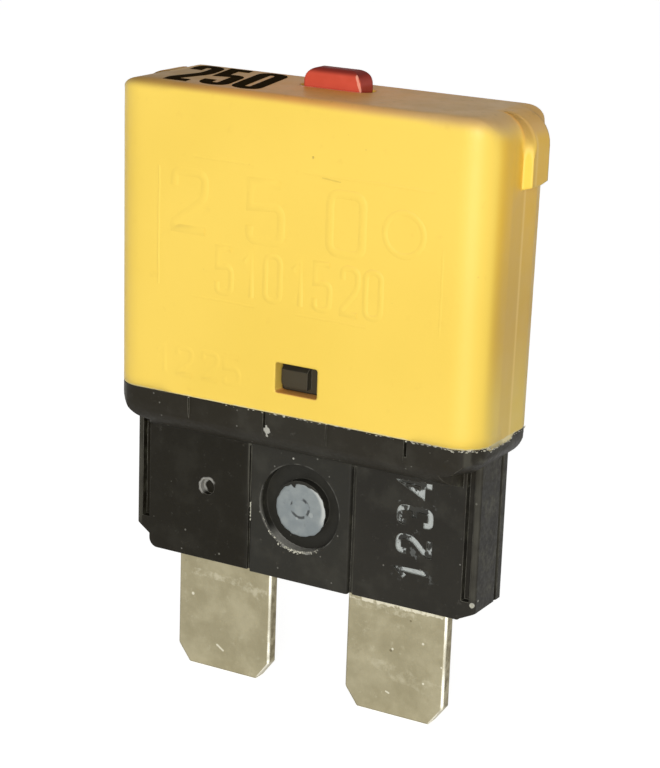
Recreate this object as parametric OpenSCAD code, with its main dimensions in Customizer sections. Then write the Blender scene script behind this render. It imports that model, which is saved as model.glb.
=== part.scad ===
// Blade circuit breaker: a plug-in thermal breaker with a push-to-reset button.
// Millimetres. X runs across the two blades, Y from front to back, Z upwards.
// The origin is the middle of the base's underside, which lands on the socket.

/* [Cap] */
// Width of the cap at its lower edge
cap_w = 19.1; // [18.6:0.1:20.2]
// Depth of the cap at its lower edge
cap_d = 5.9; // [5.8:0.1:6.6]
// How far each side leans out on its way up to the top
cap_lean = 0.1; // [0.02:0.02:0.16]
// Height of the cap above its joint with the base
cap_h = 14.45; // [14.0:0.05:15.5]
// Thickness of the cap's side walls
cap_wall = 0.7; // [0.6:0.05:0.8]
// Thickness of the cap's roof
cap_roof = 1.0; // [0.8:0.05:1.2]
// Radius of the cap's upright corners
cap_corner_r = 1.4; // [1.2:0.1:1.8]
// Radius of the cap's top edge at front and back
cap_edge_r = 0.5; // [0.4:0.05:0.8]
// Radius of the cap's top edge over both narrow sides
cap_top_r = 1.3; // [1.0:0.05:1.4]
// Radius round the cap's lower edge
cap_foot_r = 0.08; // [0.04:0.01:0.12]
// How far the narrow sides reach below the joint in their middle
skirt_drop = 0.2; // [0.1:0.05:0.35]
// Length of that reach from front to back
skirt_len = 2.1; // [1.6:0.1:2.4]
// Place of the reach in front of the cap's middle plane
skirt_y = 0.55; // [0.3:0.05:0.6]

/* [Grip ears] */
// How far an ear stands out from the cap's narrow side
ear_out = 0.45; // [0.3:0.05:0.7]
// Depth of an ear from front to back
ear_d = 1.6; // [1.0:0.1:1.8]
// Place of an ear behind the cap's middle plane
ear_y = 0.75; // [0.6:0.05:1.1]
// Height of an ear from its lower tip to the cap's top
ear_h = 3.3; // [2.8:0.1:4.5]
// Radius of an ear where it wraps over the cap's top corner
ear_r = 1.5; // [1.2:0.1:1.8]
// Rise of the sloped underside of an ear
ear_slope = 0.15; // [0.1:0.05:0.8]
// Rise of an ear's underside from front to back
ear_rise = 0.25; // [0.05:0.05:0.4]

/* [Latches] */
// Width of the window in the cap's wall
window_w = 2.2; // [1.8:0.1:2.6]
// Height of the window
window_h = 1.4; // [1.3:0.05:1.7]
// Height of the window's lower edge above the joint
window_up = 1.05; // [0.8:0.05:1.05]
// Place of the window's middle to the right of the cap's middle
window_x = 0.45; // [0.3:0.05:0.6]
// Radius of the window's corners
window_r = 0.12; // [0.05:0.01:0.2]
// Width of the base's snap lug
lug_w = 1.35; // [1.0:0.05:1.6]
// Gap between the lug and the left edge of its window
lug_side_gap = 0.1; // [0.05:0.05:0.2]
// Gap under the lug, which the snap needs to close
lug_under_gap = 0.2; // [0.1:0.05:0.25]
// Gap between the lug's face and the cap's outer face
lug_back = 0.4; // [0.3:0.05:0.5]
// Radius of the lug's lower left corner
lug_corner_r = 0.25; // [0.1:0.05:0.35]

/* [Button and slide] */
// Width of the button
button_w = 2.9; // [2.5:0.1:3.1]
// Depth of the button
button_d = 1.1; // [0.9:0.05:1.2]
// Place of the button's middle behind the cap's middle plane
button_y = 0.75; // [0.7:0.05:0.85]
// Height of the set button above the cap's roof
button_up = 0.88; // [0.8:0.02:1.3]
// Radius of the button's two top corners
button_r = 0.65; // [0.4:0.05:0.75]
// Radius of the button's long top edges
button_edge_r = 0.35; // [0.05:0.01:0.4]
// Travel of the button from set to tripped
travel = 2.4; // [2.0:0.1:2.6]
// Width of the slide that carries the button
slide_w = 4.6; // [4.2:0.1:5.0]
// Thickness of the slide
slide_d = 1.1; // [0.9:0.05:1.2]
// Height of the slide's lower end above the base's tongue when set
slide_rise = 0.8; // [0.6:0.05:1.2]
// Height of the shoulder that stops the slide under the roof
shoulder_stop_h = 1.4; // [1.0:0.1:1.6]
// Thickness of the separator wedge at its leading edge
wedge_tip = 0.12; // [0.1:0.01:0.14]
// Length of the button's slot in the roof
slot_w = 3.75; // [3.5:0.05:4.0]
// Gap on each broad side of the button in its slot
slot_gap = 0.07; // [0.05:0.01:0.1]

/* [Base] */
// Height of the plug below the shoulder
plug_h = 6.35; // [5.8:0.05:6.8]
// Width of the plug across its side panels
plug_w = 16.84; // [16.4:0.02:17.0]
// Depth of the plug across its side panels
plug_d = 2.7; // [2.5:0.1:3.0]
// Radius of the plug's lower left corner
plug_left_r = 0.45; // [0.3:0.05:0.6]
// Radius of the plug's lower right corner
plug_right_r = 0.2; // [0.05:0.01:0.3]
// Height of the straight rim under the cap
rim_h = 0.5; // [0.4:0.05:0.8]
// Radius of the shoulder at both narrow sides and at its corners
shoulder_side_r = 1.3; // [0.9:0.05:1.35]
// Depth below the joint at which the left narrow side starts to round in
shoulder_left_drop = 0.35; // [0.2:0.05:0.5]
// Depth below the joint at which the right narrow side starts to round in
shoulder_right_drop = 0.1; // [0.05:0.05:0.3]
// Radius of the fillet between the shoulder and the panels
shoulder_fillet = 0.2; // [0.1:0.05:0.3]
// Height of the tongue that plugs into the cap
tongue_h = 2.75; // [2.5:0.05:2.8]
// Gap between the tongue and the cap's inner walls
cap_fit = 0.08; // [0.05:0.01:0.1]
// Width of the raised centre panel
centre_w = 5.3; // [4.9:0.1:5.5]
// How far the centre panel stands out from the side panels
centre_out = 0.15; // [0.1:0.01:0.25]
// Width of the groove on each side of the centre panel
groove_w = 0.2; // [0.15:0.01:0.25]
// Depth of that groove below the side panels
groove_deep = 0.15; // [0.1:0.01:0.25]
// How far a side wing stands out beyond the panels
wing_out = 0.71; // [0.55:0.01:0.8]
// Radius of a wing's upright edges
wing_edge_r = 0.14; // [0.06:0.02:0.2]
// Height of the left wing's lower edge
wing_left_z = 0.65; // [0.3:0.05:0.7]
// Height of the right wing's lower edge
wing_right_z = 0.1; // [0.05:0.01:0.5]
// Height of the bevel under the left wing
wing_left_bevel = 0.5; // [0.4:0.05:0.8]
// Height of the bevel under the right wing
wing_right_bevel = 0.35; // [0.3:0.05:0.8]
// Width of the channel between a wing and its panel
channel_w = 0.4; // [0.3:0.02:0.44]
// Depth of that channel
channel_deep = 0.35; // [0.2:0.05:0.5]
// Height of the channel's closed end above the wing's lower edge
channel_up = 0.85; // [0.6:0.05:1.1]
// Distance of the rib groove behind the wings' middle
rib_groove_y = 0.72; // [0.6:0.02:0.85]
// Width of the rib groove along a wing
rib_groove_w = 0.28; // [0.16:0.02:0.32]

/* [Base details] */
// Radius of the round pit in the centre panel
pit_r = 2.1; // [1.9:0.05:2.3]
// Height of the pit's middle above the underside
pit_z = 3.65; // [3.2:0.05:3.9]
// Depth of the pit below the centre panel
pit_deep = 0.55; // [0.4:0.05:0.7]
// Radius of the round boss in the pit
boss_r = 1.3; // [1.1:0.05:1.4]
// How far the boss's face lies behind the centre panel
boss_back = 0.08; // [0.04:0.01:0.15]
// Radius of the gate mark in the middle of the boss
gate_r = 0.46; // [0.3:0.02:0.55]
// Radius of the small blind hole in the left panel
dimple_r = 0.38; // [0.3:0.02:0.5]
// Distance of the blind hole to the left of the middle
dimple_x = 5.15; // [4.8:0.05:5.6]
// Depth of the blind hole
dimple_deep = 0.3; // [0.2:0.05:0.4]
// Depth of the shallow steps in the rim's front and back
step_deep = 0.12; // [0.08:0.01:0.16]
// How far the steps reach below the rim, where the shoulder curves away from them
step_drop = 0.8; // [0.7:0.05:0.9]
// Width of the two narrow slots in the rim
vent_w = 0.2; // [0.12:0.02:0.28]
// How far the slots reach below the rim
vent_drop = 0.25; // [0.15:0.05:0.35]
// Depth of those slots
vent_deep = 0.5; // [0.3:0.05:0.6]

/* [Terminals] */
// Distance between the middles of the two blades
blade_pitch = 9.4; // [9.0:0.05:9.6]
// Width of a blade
blade_w = 5.2; // [5.0:0.05:5.3]
// Thickness of a blade
blade_t = 0.65; // [0.6:0.01:0.7]
// Length of a blade below the base
blade_len = 5.95; // [5.4:0.05:7.0]
// Radius of a blade's upright edges
blade_edge_r = 0.12; // [0.05:0.01:0.2]
// Width of the bevel at each side of a blade's tip
tip_bevel_w = 0.71; // [0.4:0.01:0.9]
// Height of that bevel
tip_bevel_h = 0.93; // [0.6:0.01:1.2]
// Radius of the blade's corners at the bevels
tip_r = 0.08; // [0.04:0.02:0.3]
// Width of the left terminal's upright inside the cap
arm_w = 1.5; // [1.3:0.05:1.6]
// Width of the right terminal's post inside the cap
post_w = 2.6; // [2.4:0.1:2.8]
// Gap between the moulded base and a terminal
insert_gap = 0.02; // [0.01:0.01:0.04]

/* [Contacts and bimetal] */
// Height of the contacts, as a share of the room between tongue and roof
contact_share = 0.374; // [0.36:0.002:0.4]
// Distance of the contacts from the left blade's outer edge
contact_in = 2.9; // [2.8:0.05:3.0]
// Diameter of the contacts
contact_dia = 2.0; // [1.8:0.1:2.1]
// Diameter of the contacts' shanks
shank_dia = 1.0; // [0.8:0.1:1.1]
// Thickness of the heads closed behind the shanks
tail_h = 0.14; // [0.1:0.01:0.16]
// Opening between the contacts when tripped
contact_open = 0.9; // [0.85:0.01:0.95]
// Thickness of the bimetal strip
bimetal_t = 0.28; // [0.24:0.01:0.3]
// Width of the bimetal strip
bimetal_w = 2.2; // [2.1:0.1:2.4]
// Diameter of the rivet's shank
rivet_dia = 1.1; // [1.0:0.1:1.2]
// Diameter of the rivet's heads
rivet_head_dia = 1.9; // [1.7:0.1:2.0]
// Thickness of the rivet's heads
rivet_head_h = 0.3; // [0.25:0.01:0.35]

/* [Springs] */
// Outer diameter of a reset spring
spring_dia = 1.2; // [1.1:0.05:1.25]
// Diameter of the spring wire
spring_wire = 0.18; // [0.14:0.01:0.2]
// Number of turns of a spring
spring_turns = 6; // [5:1:7]
// Distance between the two springs
spring_pitch = 2.4; // [2.2:0.1:2.8]
// Depth of the spring pockets in the tongue
pocket_deep = 1.8; // [1.5:0.1:2.0]

/* [Hidden] */

$fn = 48;
cut = 0.1;

// Heights
shoulder_r = (cap_d - plug_d) / 2;
rim_z = plug_h + shoulder_r;
seat_z = rim_z + rim_h;
deck_z = seat_z + tongue_h;
roof_z = seat_z + cap_h;
ceiling_z = roof_z - cap_roof;
contact_z = deck_z + contact_share * (ceiling_z - deck_z);
fillet_z = rim_z - sqrt(pow(shoulder_r, 2) + 2 * shoulder_r * shoulder_fillet);

// Widths and depths inside the cap
room_w = cap_w - 2 * cap_wall;
room_d = cap_d - 2 * cap_wall;
room_r = cap_corner_r - cap_wall;
tongue_d = room_d - 2 * cap_fit;

// Places of the mechanism
blade_outer = (blade_pitch + blade_w) / 2;
contact_x = -blade_outer + contact_in;
post_x = blade_outer - post_w / 2;
hinge_x = blade_outer - post_w - 0.1;
bimetal_y = blade_t / 2;
bimetal_back_y = bimetal_y + bimetal_t;
arm_tail_gap = 0.1;
arm_back_y = room_d / 2 - arm_tail_gap - tail_h;
arm_y = arm_back_y - blade_t / 2;
contact_gap = 0.02;
contact_h = (arm_back_y - blade_t - bimetal_back_y - contact_gap) / 2;
contact_y = bimetal_back_y + contact_h + contact_gap;
hole_gap = 0.02;

// The slide, with the separator wedge that runs up between the contacts
slide_gap = 0.1;
stop_gap = 0.02;
slide_y = bimetal_back_y + slide_gap;
stop_z = ceiling_z - travel - stop_gap;
slide_z = deck_z + slide_rise;
wedge_gap = 0.05;
swing_arm = hinge_x - contact_x;
wedge_slope = contact_open * (swing_arm - contact_dia / 2) / swing_arm / travel;
wedge_lead = (wedge_tip + 2 * wedge_gap) / wedge_slope;
wedge_top_z = contact_z - contact_dia / 2 - wedge_lead;
spring_y = slide_y + slide_d / 2;
pocket_r = spring_dia / 2 + 0.1;
pocket_z = deck_z - pocket_deep;
post_gap = 0.1;

// A flat plate with round corners, standing on z = 0
module round_plate(w, d, r, h) {
    linear_extrude(h) round_rect(w, d, r);
}

// A rectangle with round corners, centred
module round_rect(w, d, r) {
    square([w - 2 * r, d], center = true);
    square([w, d - 2 * r], center = true);
    for (x = [-1, 1], y = [-1, 1])
        translate([x * (w / 2 - r), y * (d / 2 - r)]) circle(r);
}

// Extrudes an outline drawn in X and Z along Y, from y0 to y1
module along_y(y0, y1) {
    translate([0, y1, 0]) rotate([90, 0, 0]) linear_extrude(y1 - y0) children();
}

// Extrudes an outline drawn in Y and Z along X, from x0 to x1
module along_x(x0, x1) {
    translate([x0, 0, 0]) rotate([90, 0, 90]) linear_extrude(x1 - x0) children();
}

// Puts a copy at the front and one at the back
module front_and_back() {
    children();
    mirror([0, 1, 0]) children();
}

// Half of an upright section: h high and half_w wide, with a side that leans out
// on its way up, its upper corner round, and its lower one round by foot
module rounded_half(half_w, h, r, lean = 0, foot = 0) {
    top_w = half_w + lean;
    polygon([[0, 0], [half_w - foot, 0], [half_w, foot], [top_w, h - r], [top_w - r, h], [0, h]]);
    translate([top_w - r, h - r]) circle(r);
    if (foot > 0) translate([half_w - foot, foot]) circle(foot);
}

// Upright section of the cap from its middle, or a corner's axis, to the outside
module cap_side(half_w) {
    rounded_half(half_w, cap_h, cap_edge_r, cap_lean, cap_foot_r);
}

// The cap's outline from the front, round over both narrow sides
module cap_top_outline() {
    half = cap_w / 2 + cap_lean;
    translate([-half, seat_z]) square([2 * half, cap_h - cap_top_r]);
    translate([-half + cap_top_r, seat_z]) square([2 * (half - cap_top_r), cap_h]);
    for (side = [-1, 1]) translate([side * (half - cap_top_r), roof_z - cap_top_r]) circle(cap_top_r);
}

// The cap's outer form, rounded over its narrow sides
module cap_form() {
    intersection() {
        cap_block();
        along_y(-cap_d / 2 - cap_lean, cap_d / 2 + cap_lean) cap_top_outline();
    }
}

// Straight runs, and a turned form at each upright corner
module cap_block() {
    flat_w = cap_w - 2 * cap_corner_r;
    flat_d = cap_d - 2 * cap_corner_r;
    translate([0, 0, seat_z]) {
        for (turn = [0, 1]) mirror([0, turn, 0])
            along_x(-flat_w / 2, flat_w / 2) cap_side(cap_d / 2);
        for (turn = [0, 1]) mirror([turn, 0, 0])
            along_y(-flat_d / 2, flat_d / 2) cap_side(cap_w / 2);
        for (x = [-1, 1], y = [-1, 1]) translate([x * flat_w / 2, y * flat_d / 2, 0])
            rotate_extrude() intersection() {
                cap_side(cap_corner_r);
                square([cap_corner_r + cap_lean, cap_h]);
            }
    }
}

// The reach of both narrow sides below the joint, with sloped ends; grow widens its
// plan, and is below zero where it stays a little inside the cap's side
module side_skirts(grow) {
    half = skirt_len / 2;
    run = skirt_slope * (skirt_drop + cut);
    intersection() {
        translate([0, 0, seat_z - skirt_drop])
            round_plate(cap_w + 2 * grow, cap_d + 2 * grow, cap_corner_r + grow, skirt_drop + cut);
        for (side = [0, 1]) mirror([side, 0, 0]) along_x(room_w / 2, cap_w / 2 + cut) polygon([
            [-skirt_y - half - run, seat_z + cut],
            [-skirt_y - half, seat_z - skirt_drop],
            [-skirt_y + half, seat_z - skirt_drop],
            [-skirt_y + half + run, seat_z + cut]
        ]);
    }
}
skirt_slope = 1.6;
skirt_in = 0.02;

// One grip ear, on the right: it wraps over the top corner and slopes in below
module ear() {
    side = cap_w / 2 + cap_lean;
    outer = side + ear_out;
    inner = cap_w / 2 - cap_wall / 2;
    top_x = outer - ear_r;
    front_y = ear_y - ear_d / 2;
    low_z = roof_z - ear_h;
    difference() {
        ear_form(side, outer, inner, top_x);
        along_x(inner - cut, outer + cut) polygon([
            [front_y, low_z],
            [front_y, low_z - cut],
            [front_y + ear_d + cut, low_z - cut],
            [front_y + ear_d + cut, low_z + ear_rise * (1 + cut / ear_d)]
        ]);
    }
}

module ear_form(side, outer, inner, top_x) {
    along_y(ear_y - ear_d / 2, ear_y + ear_d / 2) {
        difference() {
            translate([top_x, roof_z - ear_r]) circle(ear_r);
            translate([top_x - ear_r - cut, roof_z - 2 * ear_r - cut])
                square([ear_r + cut, 2 * ear_r + 2 * cut]);
            translate([top_x - cut, roof_z - 2 * ear_r - cut]) square([inner - top_x + cut, ear_r + cut]);
            translate([top_x - cut, roof_z - 2 * ear_r - cut])
                square([inner - top_x + cut, 2 * ear_r - cap_edge_r + cut]);
        }
        polygon([
            [inner, roof_z - ear_h],
            [side, roof_z - ear_h],
            [outer, roof_z - ear_h + ear_slope],
            [outer, roof_z - ear_r],
            [inner, roof_z - ear_r]
        ]);
    }
}

// The button's slot in the roof, with half-round ends
module button_slot() {
    d = button_d + 2 * slot_gap;
    translate([0, button_y, ceiling_z - cut]) round_plate(slot_w, d, d / 2 - 0.001, cap_roof + 2 * cut);
}

module cap() {
    color([0.98, 0.82, 0.32]) difference() {
        union() {
            cap_form();
            side_skirts(-skirt_in);
            ear();
            mirror([1, 0, 0]) ear();
        }
        translate([0, 0, seat_z - cut]) round_plate(room_w, room_d, room_r, cap_h - cap_roof + cut);
        front_and_back()
            along_y(-cap_d / 2 - cap_lean - cut, -room_d / 2 + cut)
                translate([window_x, seat_z + window_up + window_h / 2]) round_rect(window_w, window_h, window_r);
        button_slot();
    }
}

// The shoulder's section in Y and Z: rounded in under front and back, with a
// fillet where it meets the panels
module shoulder_section() {
    fill = shoulder_r * shoulder_fillet / (shoulder_r + shoulder_fillet);
    translate([-plug_d / 2, fillet_z]) square([plug_d, seat_z - fillet_z]);
    translate([-cap_d / 2, rim_z]) square([cap_d, rim_h]);
    for (side = [0, 1]) mirror([side, 0]) {
        translate([plug_d / 2, rim_z]) circle(shoulder_r);
        difference() {
            translate([0, fillet_z]) square([plug_d / 2 + fill, rim_z - fillet_z]);
            translate([plug_d / 2 + shoulder_fillet, fillet_z]) circle(shoulder_fillet);
        }
    }
}

// An outline of the shoulder across half_w to both sides: rounded in at both ends
module shoulder_outline(half_w) {
    straight = half_w - shoulder_side_r;
    translate([-straight, fillet_z]) square([2 * straight, seat_z - fillet_z]);
    for (end = [[0, shoulder_right_drop], [1, shoulder_left_drop]]) mirror([end[0], 0]) {
        translate([0, seat_z - end[1]]) square([half_w, end[1]]);
        translate([straight, seat_z - end[1]]) circle(shoulder_side_r);
    }
}

// The shoulder and rim, in the plan of the cap, rounded in at the narrow sides and
// also across each corner
module shoulder() {
    intersection() {
        translate([0, 0, fillet_z]) round_plate(cap_w, cap_d, cap_corner_r, seat_z - fillet_z);
        along_x(-cap_w / 2, cap_w / 2) shoulder_section();
        along_y(-cap_d / 2, cap_d / 2) shoulder_outline(cap_w / 2);
        for_corners() along_y(-cap_w, cap_w) shoulder_outline(corner_reach);
    }
}
corner_turn = 30;
corner_reach = (cap_w / 2 - cap_corner_r) * cos(corner_turn)
    + (cap_d / 2 - cap_corner_r) * sin(corner_turn) + cap_corner_r;

// What two copies turned to one and the other pair of corners have in common
module for_corners() {
    intersection() {
        rotate([0, 0, corner_turn]) children();
        rotate([0, 0, -corner_turn]) children();
    }
}

// Outline of the side panels, seen from the front
module plug_outline() {
    translate([-plug_w / 2, plug_left_r]) square([plug_w, rim_z - plug_left_r]);
    translate([-plug_w / 2 + plug_left_r, 0])
        square([plug_w - plug_left_r - plug_right_r, plug_left_r + cut]);
    translate([-plug_w / 2 + plug_left_r, plug_left_r]) circle(plug_left_r);
    translate([plug_w / 2 - plug_right_r, plug_right_r]) circle(plug_right_r);
    translate([plug_w / 2 - plug_right_r - cut, plug_right_r]) square([plug_right_r + cut, plug_left_r]);
}

// Outline of one wing on the right, with its lower edge at z0 and its bevel's height
module wing_outline(z0, bevel) {
    tip = plug_w / 2 + wing_out;
    polygon([
        [0, z0],
        [plug_w / 2, z0],
        [tip, z0 + bevel],
        [tip, rim_z],
        [0, rim_z]
    ]);
}

// Both wings: flush with the panels, with a channel beside each panel and a rib
// groove along each narrow side
module wings() {
    tip = plug_w / 2 + wing_out;
    difference() {
        intersection() {
            along_y(-plug_d / 2, plug_d / 2) {
                wing_outline(wing_right_z, wing_right_bevel);
                mirror([1, 0]) wing_outline(wing_left_z, wing_left_bevel);
            }
            round_plate(2 * tip, plug_d, wing_edge_r, rim_z);
        }
        for (end = [[0, wing_right_z], [1, wing_left_z]]) mirror([end[0], 0, 0]) {
            front_and_back() translate([plug_w / 2, -plug_d / 2 - cut, end[1] + channel_up])
                cube([channel_w, channel_deep + cut, rim_z]);
            translate([tip - rib_groove_deep, rib_groove_y - rib_groove_w / 2, -cut])
                cube([2 * rib_groove_deep, rib_groove_w, rim_z + cut]);
        }
    }
}
rib_groove_deep = 0.15;

// The raised panel in the middle of the plug's front and back
module centre_panel() {
    d = plug_d + 2 * centre_out;
    round_plate(centre_w, d, centre_edge_r, plug_h + centre_out * 2);
}

centre_edge_r = 0.1;

// Grooves along both sides of the centre panel
module centre_grooves() {
    front_and_back() for (side = [0, 1]) mirror([side, 0, 0])
        translate([centre_w / 2, -plug_d / 2 - cut, -cut]) cube([groove_w, groove_deep + cut, plug_h + cut]);
}

// The round pit in the front panel, with the boss and its gate mark
module pit() {
    face_y = -plug_d / 2 - centre_out;
    translate([0, face_y, pit_z]) rotate([90, 0, 0]) {
        difference() {
            translate([0, 0, -pit_deep]) cylinder(h = pit_deep + cut, r = pit_r);
            translate([0, 0, -pit_deep - cut]) cylinder(h = pit_deep + cut - boss_back, r = boss_r);
        }
        translate([0, 0, -boss_back - gate_deep]) difference() {
            cylinder(h = gate_deep + cut, r = gate_r);
            translate([0, 0, -cut]) cylinder(h = gate_deep + 3 * cut, r = gate_r - gate_ring);
        }
    }
}
gate_deep = 0.06;
gate_ring = 0.12;

// The small blind hole in the left panel
module dimple() {
    translate([-dimple_x, -plug_d / 2, pit_z]) rotate([90, 0, 0])
        translate([0, 0, -dimple_deep]) cylinder(h = dimple_deep + cut, r = dimple_r);
}

// Shallow steps and narrow slots in the rim, under the cap's edge
step_left = [-5.3, -1.3];
step_right = [2.05, 5.95];
module rim_steps() {
    for (run = [step_left, step_right])
        translate([run[0], -cap_d / 2 - cut, rim_z - step_drop])
            cube([run[1] - run[0], step_deep + cut, rim_h + step_drop + cut]);
    for (x = [step_left[1], step_right[1]])
        translate([x, -cap_d / 2 - cut, rim_z - vent_drop])
            cube([vent_w, vent_deep + cut, rim_h + vent_drop + cut]);
}

// A snap lug that stands out of the tongue into its window, ramped on top and
// with its lower left corner round
module lug() {
    x0 = window_x - window_w / 2 + lug_side_gap;
    z0 = seat_z + window_up + lug_under_gap;
    z1 = seat_z + window_up + window_h - 0.05;
    root_y = -tongue_d / 2;
    face_y = -cap_d / 2 + lug_back;
    intersection() {
        along_x(x0, x0 + lug_w) polygon([
            [root_y + cut, z0],
            [face_y, z0],
            [face_y, z1 - lug_ramp],
            [root_y, z1],
            [root_y + cut, z1]
        ]);
        along_y(face_y, root_y + cut) {
            translate([x0 + lug_corner_r, z0]) square([lug_w - lug_corner_r, z1 - z0]);
            translate([x0, z0 + lug_corner_r]) square([lug_w, z1 - z0 - lug_corner_r]);
            translate([x0 + lug_corner_r, z0 + lug_corner_r]) circle(lug_corner_r);
        }
    }
}
lug_ramp = 0.35;

// Pockets for the reset springs, with a peg in each
module spring_pockets() {
    for (side = [-1, 1]) translate([side * spring_pitch / 2, spring_y, pocket_z]) difference() {
        cylinder(h = pocket_deep + cut, r = pocket_r);
        translate([0, 0, -cut]) cylinder(h = peg_h + cut, r = peg_r);
    }
}
peg_h = 0.9;
peg_r = spring_dia / 2 - spring_wire - 0.1;

// Two posts that guide the slide's edges
module guide_posts() {
    for (side = [0, 1]) mirror([side, 0, 0])
        translate([slide_w / 2 + post_gap, contact_y + wedge_gap, deck_z - cut])
            cube([guide_w, tongue_d / 2 - contact_y - wedge_gap, guide_h + cut]);
}
guide_w = 0.5;
guide_h = 2.2;

// Slots that the two terminals are moulded into
module terminal_slots() {
    w = blade_w + 2 * insert_gap;
    t = blade_t + 2 * insert_gap;
    for (side = [-1, 1])
        translate([side * blade_pitch / 2 - w / 2, -t / 2, -cut]) cube([w, t, deck_z + 2 * cut]);
}

module base() {
    color([0.16, 0.16, 0.15]) difference() {
        union() {
            difference() {
                union() {
                    along_y(-plug_d / 2, plug_d / 2) plug_outline();
                    wings();
                }
                centre_grooves();
            }
            centre_panel();
            difference() {
                shoulder();
                rim_steps();
                side_skirts(cut);
            }
            translate([0, 0, seat_z - cut])
                round_plate(room_w - 2 * cap_fit, tongue_d, room_r - cap_fit, tongue_h + cut);
            front_and_back() lug();
            guide_posts();
        }
        pit();
        dimple();
        spring_pockets();
        terminal_slots();
    }
}

// A blade's outline from the front, with both corners of its tip bevelled and softened
module blade_outline(top) {
    low = -blade_len;
    translate([-blade_w / 2 + tip_bevel_w, low]) square([blade_w - 2 * tip_bevel_w, blade_w]);
    polygon([
        [-blade_w / 2, low + tip_bevel_h + tip_r],
        [-blade_w / 2 + tip_soft, low + tip_bevel_h - tip_soft],
        [-blade_w / 2 + tip_bevel_w - tip_soft, low + tip_soft],
        [-blade_w / 2 + tip_bevel_w + tip_r, low],
        [blade_w / 2 - tip_bevel_w - tip_r, low],
        [blade_w / 2 - tip_bevel_w + tip_soft, low + tip_soft],
        [blade_w / 2 - tip_soft, low + tip_bevel_h - tip_soft],
        [blade_w / 2, low + tip_bevel_h + tip_r],
        [blade_w / 2, top],
        [-blade_w / 2, top]
    ]);
}
tip_soft = tip_r / 3;
blade_top_z = deck_z + 0.3;

module blade() {
    intersection() {
        along_y(-blade_t / 2, blade_t / 2) blade_outline(blade_top_z);
        translate([0, 0, -blade_len]) round_plate(blade_w, blade_t, blade_edge_r, blade_len + blade_top_z);
    }
}

// Section of the left upright: straight, bent back, then straight again
contact_pad = contact_dia / 2 + 0.2;
jog_z = [blade_top_z + 0.2, contact_z - contact_pad - 0.5];
arm_top_z = contact_z + contact_pad + 0.2;
module jog_section() {
    bend = blade_t / 2 * tan(atan2(arm_y, jog_z[1] - jog_z[0]) / 2);
    half = blade_t / 2;
    polygon([
        [-half, blade_top_z - cut],
        [half, blade_top_z - cut],
        [half, jog_z[0] - bend],
        [arm_y + half, jog_z[1] - bend],
        [arm_y + half, arm_top_z],
        [arm_y - half, arm_top_z],
        [arm_y - half, jog_z[1] + bend],
        [-half, jog_z[0] + bend]
    ]);
}

module terminal_left() {
    color([0.72, 0.68, 0.55]) difference() {
        union() {
            translate([-blade_pitch / 2, 0, 0]) blade();
            along_x(-blade_outer, -blade_outer + arm_w) jog_section();
            translate([-blade_outer, arm_y - blade_t / 2, contact_z - contact_pad])
                cube([contact_in + contact_pad, blade_t, arm_top_z - contact_z + contact_pad]);
        }
        translate([contact_x, arm_y, contact_z]) rotate([90, 0, 0])
            cylinder(h = 2 * blade_t, r = shank_dia / 2 + hole_gap, center = true);
    }
}

module terminal_right() {
    color([0.72, 0.68, 0.55]) difference() {
        union() {
            translate([blade_pitch / 2, 0, 0]) blade();
            translate([blade_outer - post_w, -blade_t / 2, blade_top_z - cut])
                cube([post_w, blade_t, contact_z + bimetal_w / 2 + 0.3 - blade_top_z + cut]);
        }
        translate([post_x, 0, contact_z]) rotate([90, 0, 0])
            cylinder(h = 2 * blade_t, r = rivet_dia / 2 + hole_gap, center = true);
    }
}

// A stepped rivet along Y: a head that starts at y0, its shank, and the closed tail
module stepped_rivet(x, y0, head_h, head_d, shank_h, shank_d, tail_thick, tail_d) {
    translate([x, y0, contact_z]) rotate([-90, 0, 0]) {
        cylinder(h = head_h, d = head_d);
        cylinder(h = head_h + shank_h, d = shank_d);
        translate([0, 0, head_h + shank_h]) cylinder(h = tail_thick, d = tail_d);
    }
}

tail_dia = shank_dia + 0.5;

module fixed_contact() {
    color([0.86, 0.86, 0.84])
        stepped_rivet(contact_x, contact_y, contact_h, contact_dia, blade_t, shank_dia, tail_h, tail_dia);
}

module moving_contact() {
    color([0.86, 0.86, 0.84])
        translate([contact_x, bimetal_y - tail_h, contact_z]) rotate([-90, 0, 0]) {
            cylinder(h = tail_h, d = tail_dia);
            cylinder(h = tail_h + bimetal_t, d = shank_dia);
            translate([0, 0, tail_h + bimetal_t]) cylinder(h = contact_h, d = contact_dia);
        }
}

module bimetal_strip() {
    x0 = contact_x - contact_dia / 2 - 0.1;
    x1 = blade_outer - 0.1;
    color([0.62, 0.60, 0.56]) difference() {
        translate([(x0 + x1) / 2, bimetal_y + bimetal_t, contact_z]) rotate([90, 0, 0])
            round_plate(x1 - x0, bimetal_w, bimetal_w / 4, bimetal_t);
        for (hole = [[contact_x, shank_dia], [post_x, rivet_dia]])
            translate([hole[0], bimetal_y, contact_z]) rotate([90, 0, 0])
                cylinder(h = 4 * bimetal_t, r = hole[1] / 2 + hole_gap, center = true);
    }
}

module bimetal_rivet() {
    color([0.70, 0.66, 0.52])
        stepped_rivet(post_x, -blade_t / 2 - rivet_head_h, rivet_head_h, rivet_head_dia,
            blade_t + bimetal_t, rivet_dia, rivet_head_h, rivet_head_dia);
}

// The separator wedge: thin on top, thick enough below to hold the contacts apart
module wedge() {
    back_y = contact_y - wedge_gap + contact_gap;
    depth = wedge_top_z - slide_z;
    x0 = contact_x - contact_dia / 2 - 0.1;
    along_x(x0, -slide_w / 2 + cut) polygon([
        [back_y, slide_z],
        [back_y, wedge_top_z],
        [back_y - wedge_tip, wedge_top_z],
        [back_y - wedge_tip - wedge_slope * depth, slide_z]
    ]);
}

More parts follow.
